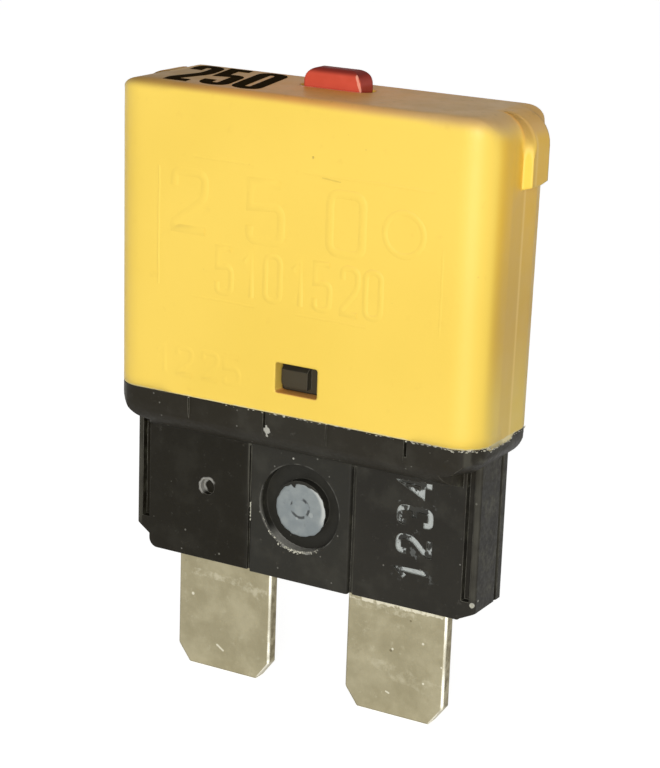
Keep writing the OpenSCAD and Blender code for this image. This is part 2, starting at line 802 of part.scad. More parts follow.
// The button itself, round at both ends of its top and along its long top edges
module button_head(front_y) {
    h = roof_z + button_up - stop_z + cut;
    translate([0, 0, stop_z - cut]) intersection() {
        along_y(front_y, front_y + button_d)
            for (side = [0, 1]) mirror([side, 0]) round_top(button_w / 2, h, button_r);
        translate([0, front_y + button_d / 2, 0]) along_x(-button_w / 2, button_w / 2)
            for (side = [0, 1]) mirror([side, 0]) round_top(button_d / 2, h, button_edge_r);
    }
}

// The half section without the part of its round corner beyond the middle
module round_top(half_w, h, r) {
    intersection() {
        rounded_half(half_w, h, r);
        square([half_w, h]);
    }
}

module push_button() {
    button_front = button_y - button_d / 2;
    shoulder_d = slide_y + slide_d - button_front;
    color([0.82, 0.24, 0.18]) {
        button_head(button_front);
        translate([-slide_w / 2, button_front, stop_z - shoulder_stop_h])
            cube([slide_w, shoulder_d, shoulder_stop_h]);
        translate([-slide_w / 2, slide_y, slide_z])
            cube([slide_w, slide_d, stop_z - shoulder_stop_h - slide_z + cut]);
        wedge();
    }
}

// A compression spring, swept along its own turns
spring_steps = 14;
spring_sides = 6;
module coil(height, turns, coil_r, wire_r) {
    n = turns * spring_steps;
    rise = height - 2 * wire_r;
    ring = [for (i = [0 : n], k = [0 : spring_sides - 1])
        let (a = 360 * i / spring_steps, b = 360 * k / spring_sides, r = coil_r + wire_r * cos(b))
            [r * cos(a), r * sin(a), wire_r + rise * i / n + wire_r * sin(b)]];
    walls = [for (i = [0 : n - 1], k = [0 : spring_sides - 1])
        let (k2 = (k + 1) % spring_sides, low = i * spring_sides, high = low + spring_sides)
            [low + k, high + k, high + k2, low + k2]];
    start = [[for (k = [0 : spring_sides - 1]) k]];
    end = [[for (k = [0 : spring_sides - 1]) n * spring_sides + spring_sides - 1 - k]];
    polyhedron(points = ring, faces = concat(walls, start, end), convexity = 10);
}

module reset_spring(side) {
    color([0.75, 0.75, 0.77]) translate([side * spring_pitch / 2, spring_y, pocket_z + spring_seat_gap])
        coil(slide_z - pocket_z - 2 * spring_seat_gap, spring_turns, (spring_dia - spring_wire) / 2,
            spring_wire / 2);
}
spring_seat_gap = 0.02;

module spring_left() { reset_spring(-1); }
module spring_right() { reset_spring(1); }

cap();
base();
push_button();
terminal_left();
terminal_right();
fixed_contact();
moving_contact();
bimetal_strip();
bimetal_rivet();
spring_left();
spring_right();
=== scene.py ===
"""Looks of the blade circuit breaker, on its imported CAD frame. Metres; the front is at -Y."""

import math
import random

import bmesh
import bpy
from mathutils import Matrix, Vector


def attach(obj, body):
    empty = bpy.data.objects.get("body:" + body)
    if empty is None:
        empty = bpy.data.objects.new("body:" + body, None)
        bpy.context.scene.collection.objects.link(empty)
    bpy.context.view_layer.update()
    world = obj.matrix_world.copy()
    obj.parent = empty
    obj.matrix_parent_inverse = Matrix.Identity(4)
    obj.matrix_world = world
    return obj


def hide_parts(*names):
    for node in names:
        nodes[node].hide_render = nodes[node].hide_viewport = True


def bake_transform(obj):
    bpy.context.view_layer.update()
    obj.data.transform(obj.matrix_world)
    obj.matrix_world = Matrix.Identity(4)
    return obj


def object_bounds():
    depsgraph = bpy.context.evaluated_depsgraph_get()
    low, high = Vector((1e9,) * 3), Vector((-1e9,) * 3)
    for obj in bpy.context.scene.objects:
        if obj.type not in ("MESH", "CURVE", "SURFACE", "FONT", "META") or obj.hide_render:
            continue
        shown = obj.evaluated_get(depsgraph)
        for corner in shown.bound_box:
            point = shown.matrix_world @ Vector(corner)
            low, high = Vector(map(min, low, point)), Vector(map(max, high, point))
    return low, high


MM = 0.001
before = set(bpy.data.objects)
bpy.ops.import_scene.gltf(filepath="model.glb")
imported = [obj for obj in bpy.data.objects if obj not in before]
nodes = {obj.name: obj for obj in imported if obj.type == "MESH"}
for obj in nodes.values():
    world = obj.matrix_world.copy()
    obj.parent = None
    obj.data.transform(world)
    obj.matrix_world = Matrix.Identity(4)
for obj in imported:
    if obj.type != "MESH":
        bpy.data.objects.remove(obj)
cad_low, cad_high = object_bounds()
rng = random.Random(7)

# Places on the solids of part.scad, in millimetres; pairs are X and Z
SEAT_Z = 8.45
ROOF_Z = 22.9
CAP_Y = -2.95
CAP_LEAN, CAP_FOOT, CAP_WALL_HEIGHT = 0.1, 0.08, 13.87
PANEL_Y = -1.35
CENTRE_Y = -1.5
BOSS_Y = -1.42
BLADE_Y = -0.325
PIT = (0, 3.65)
PIT_RADIUS = 2.1
DIMPLE_X = -5.15
GROOVE_X = -2.72
WING_MARK = (8.97, 0.84)

# Camera, fitted to the edges of the part in the photo
PHOTO_W, PHOTO_H = 660, 768
SENSOR_MM = 36
FOCAL_PX = 2255.164
YAW, PITCH, ROLL = (math.radians(a) for a in (29.30416, 16.08464, 2.06746))
AIM = Vector((0.54246, 0, 9.38683)) * MM
DISTANCE = 103.58541 * MM

# Light
KEY_PLACE, KEY_AIM = (0.135, -0.290, 0.055), (0, 0, 0.012)
KEY_SIZE, KEY_WATTS = 0.16, 0.95
AMBIENT, BACKGROUND = 0.3, 1.0
FLOOR_HALF, FLOOR_GREY, FLOOR_GLOW = 1.5, 0.6, 0.81


def make_camera():
    back = Vector(
        (
            math.sin(YAW) * math.cos(PITCH),
            -math.cos(YAW) * math.cos(PITCH),
            math.sin(PITCH),
        )
    )
    level = Vector((math.cos(YAW), math.sin(YAW), 0))
    upright = level.cross(-back)
    right = level * math.cos(ROLL) + upright * math.sin(ROLL)
    up = upright * math.cos(ROLL) - level * math.sin(ROLL)
    data = bpy.data.cameras.new("camera")
    data.sensor_width = SENSOR_MM
    data.lens = SENSOR_MM * FOCAL_PX / max(PHOTO_W, PHOTO_H)
    data.clip_start, data.clip_end = 0.001, 10
    camera = bpy.data.objects.new("camera", data)
    turn = Matrix((right, up, back)).transposed().to_4x4()
    camera.matrix_world = Matrix.Translation(AIM + back * DISTANCE) @ turn
    bpy.context.scene.collection.objects.link(camera)
    bpy.context.scene.camera = camera


# Materials
def srgb(r, g, b):
    """A colour written as 0 to 255, as the shader's linear values."""
    return tuple(
        (c / 12.92 if c <= 0.04045 else ((c + 0.055) / 1.055) ** 2.4)
        for c in (r / 255, g / 255, b / 255)
    ) + (1,)


class Material:
    """A node material, with short calls for the nodes that this part needs.

    Its colour starts as rgb, from 0 to 255, and takes coats of others."""

    def __init__(self, name, rgb=(0, 0, 0)):
        self.made = bpy.data.materials.new(name)
        self.made.use_nodes = True
        self.tree = self.made.node_tree
        self.shader = self.tree.nodes["Principled BSDF"]
        self.place = self.add("ShaderNodeTexCoord").outputs["Object"]
        self.colour = srgb(*rgb)

    def add(self, kind, **settings):
        node = self.tree.nodes.new(kind)
        for key, value in settings.items():
            setattr(node, key, value)
        return node

    def put(self, socket, value):
        if isinstance(value, bpy.types.NodeSocket):
            self.tree.links.new(value, socket)
        else:
            socket.default_value = value

    def set(self, **values):
        """Sets the shader's sockets, with _ for a space in their names."""
        for key, value in values.items():
            self.put(self.shader.inputs[key.replace("_", " ")], value)

    def math(self, what, a, b=0.0, c=0.0, clamp=False):
        node = self.add("ShaderNodeMath", operation=what, use_clamp=clamp)
        for socket, value in zip(node.inputs, (a, b, c)):
            self.put(socket, value)
        return node.outputs[0]

    def product(self, first, *others):
        for other in others:
            first = self.math("MULTIPLY", first, other)
        return first

    def most(self, first, *others):
        for other in others:
            first = self.math("MAXIMUM", first, other)
        return first

    def vector(self, what, a, b=(0, 0, 0), scale=1.0):
        node = self.add("ShaderNodeVectorMath", operation=what)
        self.put(node.inputs[0], a)
        self.put(node.inputs[1], b)
        if what == "SCALE":
            self.put(node.inputs["Scale"], scale)
        one_number = what in ("DISTANCE", "DOT_PRODUCT")
        return node.outputs["Value" if one_number else "Vector"]

    def split(self, vector):
        node = self.add("ShaderNodeSeparateXYZ")
        self.put(node.inputs[0], vector)
        return node.outputs

    def facing(self):
        """X, Y and Z of the surface's own normal."""
        return self.split(self.add("ShaderNodeNewGeometry").outputs["Normal"])

    def ramp(self, value, low, high, out_low=0.0, out_high=1.0):
        """Maps low..high to out_low..out_high, smoothly and clamped."""
        node = self.add("ShaderNodeMapRange", interpolation_type="SMOOTHSTEP")
        for key, v in zip(
            ("Value", "From Min", "From Max", "To Min", "To Max"),
            (value, low, high, out_low, out_high),
        ):
            self.put(node.inputs[key], v)
        return node.outputs["Result"]

    def over(self, value, low_mm, high_mm, out_low=0.0, out_high=1.0):
        """The same for a length, with its ends in millimetres."""
        return self.ramp(value, low_mm * MM, high_mm * MM, out_low, out_high)

    def within(self, value, low_mm, high_mm, soft_mm=0.05):
        """1 where value lies between the two, with soft ends."""
        rise = self.over(value, low_mm - soft_mm, low_mm + soft_mm)
        fall = self.over(value, high_mm - soft_mm, high_mm + soft_mm, 1, 0)
        return self.product(rise, fall)

    def noise(self, per_mm, detail=3.0, rough=0.5, stretch=(1, 1, 1)):
        """Noise from 0 to 1, with about per_mm lumps to a millimetre."""
        node = self.add("ShaderNodeTexNoise")
        self.put(node.inputs["Vector"], self.vector("MULTIPLY", self.place, stretch))
        self.put(node.inputs["Scale"], per_mm / MM)
        self.put(node.inputs["Detail"], detail)
        self.put(node.inputs["Roughness"], rough)
        return node.outputs["Fac"]

    def patches(self, per_mm, low, high, out_low=0.0, out_high=1.0, detail=4, rough=0.5):
        """Noise that is cut to patches between the levels low and high."""
        return self.ramp(self.noise(per_mm, detail, rough), low, high, out_low, out_high)

    def shaken(self, value, per_mm, by_mm, detail=4, rough=0.5):
        """A length with noise of up to by_mm added."""
        return self.math("MULTIPLY_ADD", self.noise(per_mm, detail, rough), by_mm * MM, value)

    def specks(self, per_mm, share, size, seed=0.0):
        """Scattered dots: 1 in them, for about share of the cells of a grid."""
        shift = (seed * MM, seed * 0.7 * MM, seed * 1.3 * MM)
        cell = self.add("ShaderNodeTexVoronoi")
        self.put(cell.inputs["Vector"], self.vector("ADD", self.place, shift))
        self.put(cell.inputs["Scale"], per_mm / MM)
        pick = self.split(cell.outputs["Color"])[0]
        dot = self.ramp(cell.outputs["Distance"], size * 0.6, size, 1, 0)
        return self.product(dot, self.ramp(pick, 1 - share - 0.02, 1 - share))

    def off_axis(self, x_mm, z_mm):
        """Distance from a line that runs from the front to the back."""
        flat = self.vector("MULTIPLY", self.place, (1, 0, 1))
        return self.vector("DISTANCE", flat, (x_mm * MM, 0, z_mm * MM))

    def frayed(self, far, radius_mm, ragged, per_mm):
        """1 where far is less than the radius, with a ragged edge."""
        wobble = self.math("MULTIPLY_ADD", self.noise(per_mm), 2 * ragged, -ragged)
        far = self.math("MULTIPLY_ADD", wobble, radius_mm * MM, far)
        return self.over(far, radius_mm * 0.8, radius_mm * 1.15, 1, 0)

    def near(self, point_mm, radius_mm, ragged=0.3, per_mm=6.0):
        """1 inside a ragged round spot, 0 outside it."""
        far = self.vector("DISTANCE", self.place, tuple(v * MM for v in point_mm))
        return self.frayed(far, radius_mm, ragged, per_mm)

    def line(self, start_mm, end_mm, radius_mm, ragged=0.4, per_mm=6.0):
        """1 along a ragged straight streak, 0 beside it."""
        start, end = Vector(start_mm) * MM, Vector(end_mm) * MM
        run = end - start
        here = self.vector("SUBTRACT", self.place, tuple(start))
        along = self.vector("DOT_PRODUCT", here, tuple(run))
        share = self.math("MULTIPLY", along, 1 / run.length_squared, clamp=True)
        foot = self.vector("SCALE", tuple(run), scale=share)
        return self.frayed(self.vector("DISTANCE", here, foot), radius_mm, ragged, per_mm)

    def soft_edges(self, radius, samples=6):
        """The normal of a surface whose edges were rounded by radius, in metres."""
        node = self.add("ShaderNodeBevel", samples=samples)
        self.put(node.inputs["Radius"], radius)
        return node.outputs["Normal"]

    def edge(self, radius_mm):
        """1 along sharp edges, fading out over radius_mm."""
        plain = self.add("ShaderNodeNewGeometry").outputs["Normal"]
        turned = self.vector("DOT_PRODUCT", self.soft_edges(radius_mm * MM), plain)
        return self.ramp(turned, 0.8, 0.985, 1, 0)

    def bump(self, height, depth_mm, under=None):
        node = self.add("ShaderNodeBump")
        self.put(node.inputs["Strength"], 1.0)
        self.put(node.inputs["Distance"], depth_mm * MM)
        self.put(node.inputs["Height"], height)
        if under is not None:
            self.put(node.inputs["Normal"], under)
        return node.outputs["Normal"]

    def mix(self, amount, a, b):
        node = self.add("ShaderNodeMix", data_type="RGBA")
        self.put(node.inputs["Factor"], amount)
        self.put(node.inputs["A"], a)
        self.put(node.inputs["B"], b)
        return node.outputs["Result"]

    def coat(self, colour, *masks):
        """Lays a colour over what is there, as far as the masks' product says."""
        if isinstance(colour, tuple):
            colour = srgb(*colour)
        self.colour = self.mix(self.product(*masks), self.colour, colour)


def cap_edge_radius(m, x, y, z):
    """How far the cap's edges are softened, in metres: most at the upright corners
    and at the ball where they meet the top."""
    aside = m.math("ABSOLUTE", x)
    upright = m.product(m.over(aside, 5.9, 6.9), m.over(y, -0.75, -0.15, 1, 0))
    ball = m.product(m.over(aside, 7.2, 8.2), m.over(z, 20.9, 22.1), m.over(y, 0.1, 0.3, 1, 0))
    plain = 0.16 * MM
    widest = m.over(y, -3.0, -1.9, 0.85 * MM, 1.6 * MM)
    return m.math("MULTIPLY_ADD", m.most(upright, ball), m.math("SUBTRACT", widest, plain), plain)


def yellow_plastic(name, raised=False):
    """The cap's plastic; raised is for the faint figures, whose small edges stay crisp."""
    m = Material(name, (247, 211, 88))
    x, y, z = m.split(m.place)
    crisp = 0.04 * MM
    soft = m.soft_edges(crisp if raised else cap_edge_radius(m, x, y, z), samples=14)
    across, _, up = m.split(soft)
    fleck = m.noise(1.4, detail=4)
    m.coat((252, 216, 94), m.patches(0.12, 0.3, 0.7, detail=2))
    m.coat((236, 196, 80), m.ramp(fleck, 0.62, 0.8, 0, 0.3))

    # The top is browner and darker, partly from a film and partly from painted shade that is
    # deepest at the left; the ears' top is browner too
    top_film_and_shade = m.mix(m.over(x, -9, -1), srgb(162, 128, 64), srgb(226, 162, 86))
    top_film_and_shade = m.mix(m.over(x, 0.5, 7.5), top_film_and_shade, srgb(218, 180, 122))
    top_film_and_shade = m.mix(m.patches(0.6, 0.35, 0.7, 0, 0.35), top_film_and_shade, srgb(196, 150, 84))
    m.coat(top_film_and_shade, m.ramp(up, m.over(x, -2, 4, 0.2, 0.04), 0.86))
    ear = m.over(m.math("ABSOLUTE", x), 8.0, 8.6)
    m.coat((226, 176, 92), ear, m.over(z, 20.9, 22.3), m.over(y, -0.3, -0.1), 0.75)
    m.coat((130, 98, 60), m.patches(3.5, 0.56, 0.72, detail=5), m.ramp(up, 0.6, 0.95), 0.16)

    # Painted shade on the narrow sides, changing in tone with height, with a pale band and a
    # darker band along them
    painted_side_shade = m.mix(m.over(z, 9, 14), srgb(232, 200, 92), srgb(218, 174, 60))
    painted_side_shade = m.mix(m.over(z, 14, 19), painted_side_shade, srgb(238, 188, 54))
    painted_side_shade = m.mix(m.product(m.within(y, 0.22, 0.4, 0.06), 0.5), painted_side_shade, srgb(250, 216, 134))
    painted_side_shade = m.mix(m.product(m.within(y, -0.9, 0.2, 0.15), 0.35), painted_side_shade, srgb(206, 164, 74))
    m.coat(painted_side_shade, m.ramp(m.math("ABSOLUTE", across), 0.86, 0.99, 0, 0.9))

    # Pale edge in front of the button's slot, and a painted highlight along the lower edge
    lip = m.line((-1.5, 0.11, ROOF_Z), (1.45, 0.11, ROOF_Z), 0.06, 0.9, 4)
    m.coat((255, 226, 190), lip, m.ramp(up, 0.5, 0.8), 0.85)
    m.coat((240, 228, 176), m.over(m.shaken(z, 3, -0.12), 8.42, 8.5, 1, 0), 0.75)

    # Fine dark specks and two dents
    dots = m.most(m.specks(1.1, 0.035, 0.055), m.specks(2.3, 0.02, 0.08, 3.1))
    m.coat((176, 138, 64), dots, 0.2)
    scratch = m.line((1.5, -3.03, 19.56), (2.4, -3.03, 19.48), 0.03, 0.9, 4)
    dents = m.most(m.near((1.0, -3.03, 20.4), 0.055, 0.6), m.product(scratch, 0.5))
    m.coat((170, 136, 60), dents, 0.45)

    normal = m.bump(m.noise(9), 0.004, soft)
    normal = m.bump(m.math("MULTIPLY", dents, -1.0), 0.02, normal)
    m.set(
        Base_Color=m.colour,
        Roughness=m.ramp(fleck, 0.2, 0.8, 0.38, 0.48),
        Specular_IOR_Level=m.ramp(up, 0.3, 0.85, 0.42, 0.05),
        Normal=m.bump(m.noise(0.35, detail=2), 0.02, normal),
    )
    return m.made


def black_plastic():
    m = Material("base_black", (24, 21, 12))
    x, y, z = m.split(m.place)
    across, away, up = m.facing()
    aside = m.math("ABSOLUTE", x)
    grain = m.noise(5, detail=5, rough=0.7)

    # The left wing is the darkest, and the shoulder a little browner
    off_left = m.over(x, -3.2, -2.4)
    m.coat((44, 43, 38), off_left)
    m.coat((38, 36, 31), m.over(x, 2.4, 3.2))
    cloud = m.patches(0.3, 0.35, 0.7, 0, 0.6, detail=3)
    m.coat((46, 44, 38), cloud, m.ramp(off_left, 0, 1, 0.15, 1))
    m.coat((42, 38, 29), m.over(z, 6.2, 6.7), 0.6)

    # A grey film, dust and pale specks
    m.coat((74, 72, 64), m.patches(0.7, 0.48, 0.7), m.ramp(off_left, 0, 1, 0.12, 0.25))
    m.coat((112, 110, 102), m.patches(3.2, 0.6, 0.74, detail=6, rough=0.75), 0.22)
    dots = m.most(
        m.specks(1.9, 0.06, 0.12), m.specks(1.1, 0.05, 0.07, 5.3), m.specks(3.1, 0.04, 0.16, 1.7)
    )
    m.coat((150, 148, 138), dots, 0.45)

    # Painted highlights along the edges, more in some places than in others, and little at the pit
    off_pit = m.off_axis(*PIT)
    off_rim = m.math("ABSOLUTE", m.math("SUBTRACT", off_pit, PIT_RADIUS * MM))
    patchy_highlight = m.patches(1.1, 0.35, 0.65, 0.2, 0.85)
    m.coat((122, 119, 108), m.edge(0.06), patchy_highlight, m.over(off_rim, 0.1, 0.2, 0.15, 1))
    # Painted highlights along the wings' front edges
    m.coat(
        (88, 86, 76),
        m.within(aside, 8.86, 9.12, 0.06),
        m.ramp(away, -0.2, -0.6),
        m.over(z, 0.6, 1.5),
        m.patches(0.8, 0.3, 0.6, 0.4, 0.9, detail=3),
        0.55,
    )
    # Painted highlights along the edges of the grooves beside the centre panel
    left_groove = m.product(m.within(x, -2.92, -2.76, 0.05), m.over(z, 3, 5))
    m.coat(
        (92, 90, 80),
        m.most(m.within(x, 2.74, 2.86, 0.05), left_groove),
        m.ramp(away, -0.8, -0.95),
        m.patches(0.9, 0.3, 0.6, 0.25, 0.7),
        m.over(z, 6.3, 6.6, 1, 0),
    )

    # The lug in the cap's window is lighter, and the inside of the pit is darkened with painted
    # shade
    lug_front = m.product(m.over(y, -1.5, -1.2, 1, 0), m.ramp(away, -0.7, -0.95))
    m.coat((72, 65, 50), m.over(z, 8.9, 9.2), lug_front, 0.8)
    m.coat((28, 27, 23), m.over(off_pit, 2.08, 2.11, 1, 0), m.over(y, -1.49, -1.47), 0.35)

    # Whitish residue on the pit's rim, most of it at the lower left
    lower_left = m.over(m.math("MULTIPLY_ADD", x, 0.7, z), 1.6, 2.9, 1, 0)
    thin = m.product(m.over(off_rim, 0.03, 0.07, 1, 0), m.patches(1.4, 0.4, 0.6), 0.22)
    thick = m.product(m.over(m.shaken(off_rim, 4, -0.12), -0.01, 0.05, 1, 0), lower_left, 0.25)
    bottom = m.line((-0.9, CENTRE_Y, 1.72), (0.5, CENTRE_Y, 1.62), 0.16, 0.8, 4)
    bottom = m.product(bottom, m.patches(5, 0.4, 0.55), 0.6)
    rim = m.product(m.most(thin, thick, bottom), m.over(y, -1.36, -1.33, 1, 0))
    # The pit's lower wall holds most of it
    wall = m.product(
        m.within(off_pit, 2.04, 2.16, 0.03),
        m.over(y, -1.495, -1.48),
        m.ramp(up, 0.3, 0.75),
        m.over(m.shaken(y, 2.2, 0.5, detail=5, rough=0.7), -0.45, -0.55),
        m.within(x, -1.5, 1.2, 0.3),
        0.9,
    )
    # A smear runs round the small dimple on the left
    smear = m.product(
        m.within(m.shaken(m.off_axis(DIMPLE_X, PIT[1]), 5, 0.16), 0.36, 0.56, 0.04),
        m.over(m.math("SUBTRACT", z, m.product(x, 0.9)), 8.05, 8.35),
        m.over(y, -0.9, -1.0),
        0.9,
    )
    rings = m.most(rim, wall, smear)
    m.coat((158, 156, 148), rings)

    # It lies in the sunk figures, and a little beside them
    in_figures = m.product(
        m.within(x, 4.85, 6.95),
        m.within(z, 1.1, 6.6),
        m.over(y, -1.335, -1.325),
        m.over(y, -1.1, -1.08, 1, 0),
        m.ramp(across, -0.5, -0.4),
    )
    packed = m.patches(1.15, 0.43, 0.49, rough=0.6)
    figures = m.product(in_figures, m.math("MULTIPLY_ADD", packed, 0.85, 0.04))
    spill = m.product(
        m.within(x, 4.9, 6.9, 0.2),
        m.within(z, 1.3, 6.4, 0.2),
        m.over(y, -1.36, -1.34, 1, 0),
        m.patches(1.7, 0.6, 0.66, detail=5, rough=0.7),
        0.3,
    )
    m.coat((192, 196, 192), m.most(figures, spill))

    # Single marks: along the left groove, on the shoulder and on the right wing
    marks = m.most(
        m.line((GROOVE_X, PANEL_Y, 3.4), (GROOVE_X + 0.02, PANEL_Y, 2.5), 0.075, 0.7, 5),
        m.near((GROOVE_X, PANEL_Y, 1.92), 0.07),
        m.near((-1.04, -2.86, 7.6), 0.16, 0.8, 5),
        m.line((-1.05, -2.9, 7.8), (-1.07, -2.8, 7.3), 0.06, 0.7),
        m.near((WING_MARK[0], PANEL_Y, WING_MARK[1]), 0.13, 0.4),
        m.near((9.1, -1.05, 1.0), 0.07, 0.5),
        m.line((7.5, PANEL_Y, 6.42), (7.75, PANEL_Y, 6.3), 0.035, 0.6),
        m.near((-0.4, CENTRE_Y, 6.0), 0.05),
        m.near((0.07, -2.7, 7.72), 0.06),
    )
    m.coat((196, 194, 182), marks, 0.85)

    # The narrow sides are lighter, in patches
    sideways = m.ramp(m.math("ABSOLUTE", across), 0.8, 0.95)
    m.coat((104, 102, 84), sideways, m.patches(1.6, 0.45, 0.7, detail=5, rough=0.7), 0.3)

    residue = m.product(m.most(rings, figures, marks), m.noise(6, detail=5, rough=0.7))
    m.set(
        Base_Color=m.colour,
        Roughness=m.ramp(grain, 0.3, 0.7, 0.42, 0.6),
        Specular_IOR_Level=0.13,
        Normal=m.bump(residue, 0.05, m.bump(grain, 0.008, m.soft_edges(0.07 * MM))),
    )
    return m.made


def red_plastic():
    m = Material("button_red", (202, 79, 58))
    across, away, up = m.facing()
    m.coat((210, 87, 66), m.patches(0.8, 0.3, 0.7, detail=3))
    # Painted shade: darker on the top, on the back and on the right end
    m.coat((128, 46, 38), m.ramp(up, 0.15, 0.8))
    m.coat((96, 34, 30), m.ramp(away, 0.1, 0.5))
    m.coat((150, 44, 34), m.ramp(across, 0.6, 0.95, 0, 0.6))
    # Painted highlights along the edges, the right one most
    m.coat((255, 190, 165), m.line((1.44, 0.2, 22.95), (1.2, 0.2, 23.6), 0.07, 0.5, 4), 0.6)
    m.coat((240, 150, 120), m.edge(0.08), m.patches(1.5, 0.35, 0.6, 0.1, 0.6))
    m.set(
        Base_Color=m.colour,
        Roughness=0.45,
        Specular_IOR_Level=m.ramp(up, 0.1, 0.7, 0.16, 0.02),
        Normal=m.bump(m.noise(7), 0.004, m.soft_edges(0.12 * MM)),
    )
    return m.made


def blade_metal():
    m = Material("blade_metal", (152, 144, 116))
    z = m.split(m.place)[2]
    soft = m.soft_edges(0.13 * MM)
    across, away, _ = m.split(soft)
    fine = m.noise(2.4, detail=5, rough=0.7)
    m.coat((172, 164, 136), m.patches(0.5, 0.32, 0.7, detail=5, rough=0.65))
    m.coat((190, 184, 160), m.ramp(fine, 0.55, 0.75, 0, 0.4))
    m.coat((136, 126, 98), m.patches(1.1, 0.6, 0.72, detail=6, rough=0.75), 0.35)

    # Lighter patches, scratches and dots from use
    rubbed = m.most(
        m.line((-6.4, BLADE_Y, -1.2), (-4.0, BLADE_Y, -1.25), 0.17, 0.9, 3),
        m.line((-3.7, BLADE_Y, -1.3), (-2.4, BLADE_Y, -1.6), 0.3, 0.8, 3),
        m.line((2.4, BLADE_Y, -0.75), (5.6, BLADE_Y, -0.85), 0.16, 0.9, 3),
        m.product(m.line((3.8, BLADE_Y, -3.6), (6.5, BLADE_Y, -4.2), 0.35, 0.9, 2.2), 0.5),
    )
    m.coat((206, 200, 176), rubbed, m.ramp(fine, 0.42, 0.6), 0.4)
    bitten = m.line((2.2, BLADE_Y, -0.5), (7.0, BLADE_Y, -0.48), 0.13, 1.0, 3.5)
    m.coat((226, 220, 198), bitten, m.patches(3, 0.4, 0.55), 0.8)
    bright = m.most(
        m.line((-5.06, BLADE_Y, -4.73), (-4.71, BLADE_Y, -4.96), 0.05, 0.5),
        m.near((-6.5, BLADE_Y, -2.37), 0.08),
        m.near((6.13, BLADE_Y, -2.04), 0.06),
        m.near((6.23, BLADE_Y, -4.0), 0.06),
        m.line((4.3, BLADE_Y, -4.85), (4.46, BLADE_Y, -4.9), 0.04, 0.5),
        m.near((4.56, BLADE_Y, -2.66), 0.06),
        m.product(m.specks(2.1, 0.03, 0.12), m.over(z, -0.1, 0, 1, 0)),
    )
    m.coat((238, 234, 214), bright, 0.6)
    dark = m.most(m.near((4.47, BLADE_Y, -2.75), 0.07, 0.5), m.specks(1.7, 0.06, 0.12, 2.2))
    m.coat((96, 88, 66), dark, 0.6)

    # Painted shade in patches on the right side, and a painted highlight on its front corner
    # except halfway down
    patchy_side_shade = m.patches(1.5, 0.4, 0.6, 0.25, 0.9, detail=5, rough=0.7)
    m.coat((104, 94, 66), m.ramp(across, 0.9, 0.98), patchy_side_shade)
    halfway = m.over(m.math("ABSOLUTE", m.math("ADD", z, 2.6 * MM)), 0.3, 1.3, 0.35, 1)
    corner = m.product(m.ramp(across, 0.1, 0.3), m.ramp(across, 0.9, 0.98, 1, 0))
    corner = m.product(corner, m.ramp(away, 0, -0.2))
    m.coat((255, 252, 236), corner, halfway, m.patches(1.3, 0.3, 0.5, 0.4, 1))
    # Painted shade on the left side
    m.coat((118, 110, 86), m.ramp(across, -0.2, -0.6), 0.6)

    grooved = m.noise(1.6, detail=4, stretch=(3, 1, 0.5))
    m.set(
        Base_Color=m.colour,
        Metallic=1.0,
        Roughness=m.ramp(fine, 0.3, 0.7, 0.36, 0.5),
        Normal=m.bump(m.math("ADD", fine, m.math("MULTIPLY", grooved, 0.6)), 0.012, soft),
    )
    return m.made


def plain_metal(name, rgb, rough):
    m = Material(name)
    grain = m.noise(6)
    light = srgb(*rgb)
    dark = tuple(c * 0.85 for c in light[:3]) + (1,)
    m.set(
        Base_Color=m.mix(grain, light, dark),
        Metallic=1.0,
        Roughness=rough,
        Normal=m.bump(grain, 0.005),
    )
    return m.made


def ink():
    m = Material("print_black", (46, 36, 22))
    m.coat((84, 66, 42), m.patches(5, 0.55, 0.8, detail=5, rough=0.7))
    m.set(Base_Color=m.colour, Roughness=0.7, Specular_IOR_Level=0.0)
    return m.made


def chalk():
    m = Material("residue", (168, 166, 150))
    grain = m.noise(7, detail=5, rough=0.7)
    m.coat((226, 222, 204), m.ramp(grain, 0.35, 0.7))
    m.set(
        Base_Color=m.colour,
        Roughness=0.85,
        Specular_IOR_Level=0.1,
        Normal=m.bump(grain, 0.02),
    )
    return m.made


def boss_chalk():
    m = Material("residue_disc", (134, 141, 142))
    x, _, z = m.split(m.place)
    off_middle = m.off_axis(*PIT)
    m.coat((149, 155, 154), m.patches(1.3, 0.35, 0.65))
    m.coat((110, 114, 116), m.patches(4.5, 0.6, 0.8, 0, 0.5, detail=5))
    # A painted highlight along its edge at the upper right
    highlit_upper_right = m.over(m.math("MULTIPLY_ADD", x, 0.9, z), 3.7, 4.7)
    m.coat((206, 208, 202), m.over(off_middle, 1.08, 1.24), highlit_upper_right, 0.8)
    # The gate mark shows through as a broken dark ring
    off_ring = m.math("ABSOLUTE", m.math("SUBTRACT", off_middle, 0.46 * MM))
    ring = m.product(m.over(off_ring, 0.03, 0.09, 1, 0), m.patches(2.6, 0.42, 0.56, detail=3))
    m.coat((70, 72, 72), ring, 0.9)
    pale = m.most(m.near((0.6, -1.44, 3.42), 0.12), m.near((-0.15, -1.44, 3.12), 0.07))
    m.coat((196, 200, 196), pale, 0.3)
    grain = m.bump(m.noise(6, detail=5, rough=0.7), 0.015)
    m.set(
        Base_Color=m.colour,
        Roughness=0.85,
        Specular_IOR_Level=0.1,
        Normal=m.bump(m.math("MULTIPLY", ring, -0.6), 0.04, grain),
    )
    return m.made


